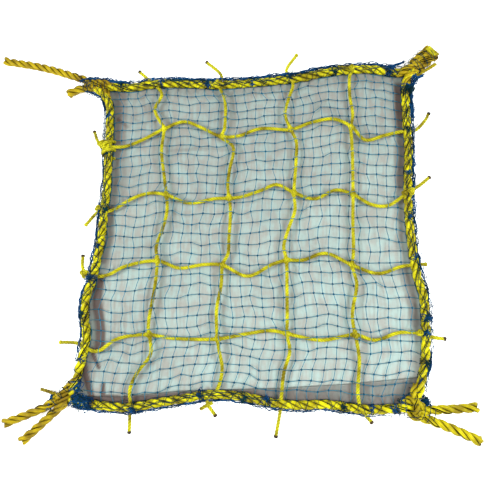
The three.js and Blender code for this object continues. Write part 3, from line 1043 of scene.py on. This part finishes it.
def add_lashing(place, plan):
    """Turns of rope, gathered twine, tangles and wraps."""
    rng = np.random.default_rng(seed_from(place))
    skin = Skin()
    for k, points in enumerate(plan["turns"]):
        line = smooth_line(points, 1.2)
        laid_rope(skin, line, LASHING_RADIUS, LASHING_LAY, 1.1 * k, splay=(-0.3, -0.3))
    for run in plan["runs"]:
        add_run(skin, rng, *run, LASHING_BLUE)
    for middle, half, count in plan["tangles"]:
        for slot in (LASHING_BLUE, LASHING_BLUE, LASHING_TEAL):
            add_tangle(skin, rng, middle, half, count // 3, slot)
    for wrap in plan["wraps"]:
        add_wrap(skin, rng, *wrap)
    if place == "top_right":
        add_fan(skin, rng)
    piece = skin.make(f"lashing_{place}", [*TAIL_MATERIALS[place], gather_blue, wrap_teal, thin_yellow])
    corner = CORNERS[place]
    middle = Vector((*corner["centre"], BORDER_Z))
    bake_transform(piece)
    stands_for(f"corner_lashing_{place}")


for place, plan in LASHINGS.items():
    add_lashing(place, plan)


# ---- backing cloth

FOLD = [(-262, -254), (-185, -253), (-95, -243), (50, -236), (150, -228), (270, -214)]
PLEAT = 9.0  # how far the cloth doubles back under the fold
CREASES_AND_SHADOW_BANDS = [  # where each crease or painted shadow band runs, its height and width, and how much brown painted shade it gets
    ([(-220, 39), (-219, 3), (-222, -25), (-226, -45)], 0.3, 6, 0.3),
    ([(-231, -75), (-231, -112), (-225, -140), (-222, -160), (-222, -182)], 0.8, 8, 0.85),
    ([(-234, -184), (-228, -198), (-221, -211)], 1.8, 3, 0.85),
    ([(-247, -198), (-240, -222), (-229, -252)], 1.9, 4.5, 0.8),
    ([(-212, -236), (-210, -256)], 1.3, 3.5, 0.7),
    ([(-208, -254), (-188, -254)], 0.8, 3.5, 0.75),
    ([(-218, 245), (-218, 200), (-210, 130), (-209, 60)], 0.2, 13, 0.28),
    ([(242, 242), (242, 197), (242, 150), (240, 120), (239, 75)], 0.3, 8.5, 0.42),
    ([(237, 45), (236, 8), (233, -25)], 0.4, 5, 0.3),
    ([(239, -60), (248, -101), (252, -140)], 0.4, 8, 0.5),
    ([(-210, 200), (-180, 190)], 1.2, 4, 0.1),
    ([(-219, 196), (-203, 182)], 1.0, 3, 0.25),
    ([(-130, 138), (-75, 140), (-20, 137)], 0.6, 3, 0.2),
    ([(-195, -130), (-150, -100)], 0.7, 9, 0.05),
    ([(110, 210), (150, 190)], 0.7, 8, 0.1),
    ([(-90, 100), (-60, 20)], 0.6, 10, 0.1),
    ([(20, 130), (60, 100)], 0.5, 6, 0.1),
    ([(100, -80), (150, -60)], 0.5, 8, 0.08),
]


def fold_at(x):
    """The fold's y at that x."""
    fold = np.array(FOLD, float)
    return np.interp(x, fold[:, 0], fold[:, 1])


def cloth_grid():
    """Places of the cloth between the border ropes, column by column, with its height over one layer.

    Each column runs from the bottom border rope up to the pleat's top, back down to the fold and up
    over it to the top border rope.
    """
    shares = np.linspace(0, 1, CLOTH_STEPS)
    columns = []
    for share in shares:
        straight = inside_borders(np.full(CLOTH_STEPS, share), shares)
        foot = straight[0, 1]
        fold = max(fold_at(straight[0, 0]), foot + 1.5)
        below = np.linspace(foot, fold + PLEAT, HEM_STEPS)
        back = np.linspace(fold + PLEAT, fold, PLEAT_STEPS + 1)[1:]
        above = np.linspace(fold, straight[-1, 1], CLOTH_STEPS)[1:]
        y = np.concatenate([below, back, above])
        x = np.interp(y, straight[:, 1], straight[:, 0])
        over = FOLD_RISE * (1 - ease(above - fold, 4, 70))
        level = np.concatenate([np.zeros(HEM_STEPS), np.linspace(0.2, 1.1, PLEAT_STEPS), over])
        columns.append(np.column_stack([x, y, level]))
    return np.array(columns)


def crease_share(places, points, wide, sharpness):
    """1 along a crease and 0 away from it."""
    return np.exp(-((distance_to(places, smooth_line(points, 2.0)) / wide) ** sharpness))


def cloth_height(places):
    """Slow waves and the creases."""
    x, y = places[:, 0], places[:, 1]
    height = 0.85 + 0.25 * np.sin(x / 31 + 1.3) * np.sin(y / 37) + 0.15 * np.sin(x / 11 + y / 17)
    for points, tall, wide, _ in CREASES_AND_SHADOW_BANDS:
        height += tall * crease_share(places, points, wide, 2)
    return height


def cloth_painted_shade_and_tone(places):
    """How much brown painted shade the cloth gets: most below the fold, in the creases and beside the
    border ropes as their painted shadow, and more towards the top and the left, over a little even tone and
    a faint wave of uneven tone.
    """
    x, y = places[:, 0], places[:, 1]
    # painted shade below the fold, a little even tone, and painted shade growing towards the top and the
    # left, where less light falls
    painted_shade_and_tone = 0.62 * ease(fold_at(x) - y, -1, 2) + 0.13 + 0.0005 * y - 0.0003 * x
    # painted shade, darker towards the top right and the bottom left corners
    painted_shade_and_tone += 0.14 * ease(y, 60, 230) * ease(x, 60, 230) + 0.16 * ease(-y, 80, 230) * ease(-x, 60, 220)
    # painted shadow of the border ropes on the cloth beside them
    painted_shade_and_tone += 0.2 * (1 - ease(distance_to(places, all_borders), 7, 26))
    # painted shade in the creases, and painted shadow bands beside the border ropes
    for points, _, wide, brown in CREASES_AND_SHADOW_BANDS:
        painted_shade_and_tone += brown * crease_share(places, points, wide, 4)
    # a faint wave of uneven tone
    return np.clip(painted_shade_and_tone + 0.06 * np.sin(x / 23) * np.sin(y / 19), 0, 0.93)


def add_cloth():
    """A thin sheet with one pleat, whose crisp edge runs along the bottom."""
    grid = cloth_grid()
    places = grid[..., :2].reshape(-1, 2)
    points = np.column_stack([places, cloth_height(places) + grid[..., 2].ravel()])
    wide, tall = grid.shape[:2]
    i, k = np.meshgrid(np.arange(wide - 1), np.arange(tall - 1), indexing="ij")
    first = i * tall + k
    faces = np.stack([first, first + tall, first + tall + 1, first + 1], -1).reshape(-1, 4)
    mesh = bpy.data.meshes.new("cloth")
    mesh.from_pydata((points * MM).tolist(), [], faces.tolist())
    steps = np.diff(grid[..., :2], axis=1, prepend=grid[:, :1, :2])
    down = np.cumsum(np.linalg.norm(steps, axis=2), axis=1)
    flat_uv = np.column_stack([places[:, 0], down.ravel()])
    loops = np.zeros(len(mesh.loops), np.int32)
    mesh.loops.foreach_get("vertex_index", loops)
    piece = put_in_scene(mesh, flat_uv[loops], "painted_shade_and_tone", cloth_painted_shade_and_tone(places), [cloth_material()])
    thick = piece.modifiers.new("thickness", "SOLIDIFY")
    thick.thickness = CLOTH_THICKNESS * MM
    thick.offset = 1
    put_on_net(piece, "backing_cloth")


add_cloth()
